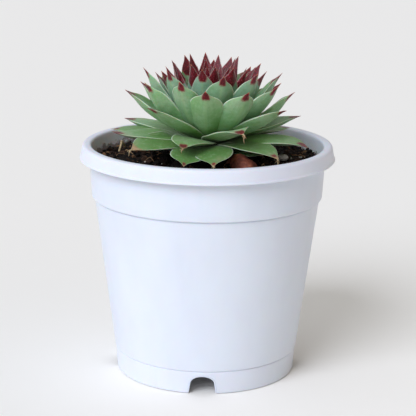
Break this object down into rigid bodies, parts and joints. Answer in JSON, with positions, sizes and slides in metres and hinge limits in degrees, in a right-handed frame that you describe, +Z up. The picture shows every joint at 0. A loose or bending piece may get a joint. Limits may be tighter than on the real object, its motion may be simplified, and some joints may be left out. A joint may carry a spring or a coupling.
{
  "type": "potted succulent",
  "caption": "Rosette succulent with fleshy pointed red-tipped leaves, growing in dark soil in a round tapered white plastic nursery pot with a rolled rim and a notched foot.",
  "frame": {"origin": "centre of the circle that the pot's foot ring stands on, at the bottom of the pot", "axes": "+Z up along the pot's axis; -Y points out of one of the four foot notches, the one that faces the viewer"},
  "size_m": [0.13, 0.13, 0.1613],
  "materials": {
    "white_plastic": "satin",
    "dark_soil": "matte",
    "pale_stem": "matte",
    "leaf_green": "satin",
    "heart_red": "satin",
    "dry_brown": "matte",
    "straw_tan": "matte",
    "pale_grit": "matte"
  },
  "bodies": {
    "root": {"pot": "white_plastic", "potting_soil": "dark_soil", "stem": "pale_stem", "leaf_01": "leaf_green", "leaf_02": "leaf_green", "leaf_03": "leaf_green", "leaf_04": "leaf_green", "leaf_05": "leaf_green", "leaf_06": "leaf_green", "leaf_07": "leaf_green", "leaf_08": "leaf_green", "leaf_09": "leaf_green", "leaf_10": "leaf_green", "leaf_11": "leaf_green", "leaf_12": "leaf_green", "leaf_13": "leaf_green", "leaf_14": "leaf_green", "leaf_15": "leaf_green", "leaf_16": "leaf_green", "leaf_17": "leaf_green", "leaf_18": "leaf_green", "leaf_19": "leaf_green", "leaf_20": "leaf_green", "leaf_21": "leaf_green", "leaf_22": "leaf_green", "leaf_23": "leaf_green", "leaf_24": "leaf_green", "leaf_25": "leaf_green", "leaf_26": "leaf_green", "leaf_27": "leaf_green", "leaf_28": "leaf_green", "leaf_29": "leaf_green", "leaf_30": "leaf_green", "leaf_31": "leaf_green", "leaf_32": "leaf_green", "leaf_33": "leaf_green", "leaf_34": "leaf_green", "leaf_35": "leaf_green", "leaf_36": "leaf_green", "leaf_37": "leaf_green", "leaf_38": "leaf_green", "leaf_39": "leaf_green", "leaf_40": "leaf_green", "leaf_41": "leaf_green", "leaf_42": "leaf_green", "leaf_43": "leaf_green", "leaf_44": "leaf_green", "leaf_45": "leaf_green", "leaf_46": "leaf_green", "leaf_47": "leaf_green", "leaf_48": "leaf_green", "leaf_49": "leaf_green", "leaf_50": "leaf_green", "leaf_51": "leaf_green", "leaf_52": "leaf_green", "heart_leaves": "heart_red", "withered_leaf": "dry_brown", "straw": "straw_tan", "pebble": "pale_grit"}
  },
  "joints": []
}
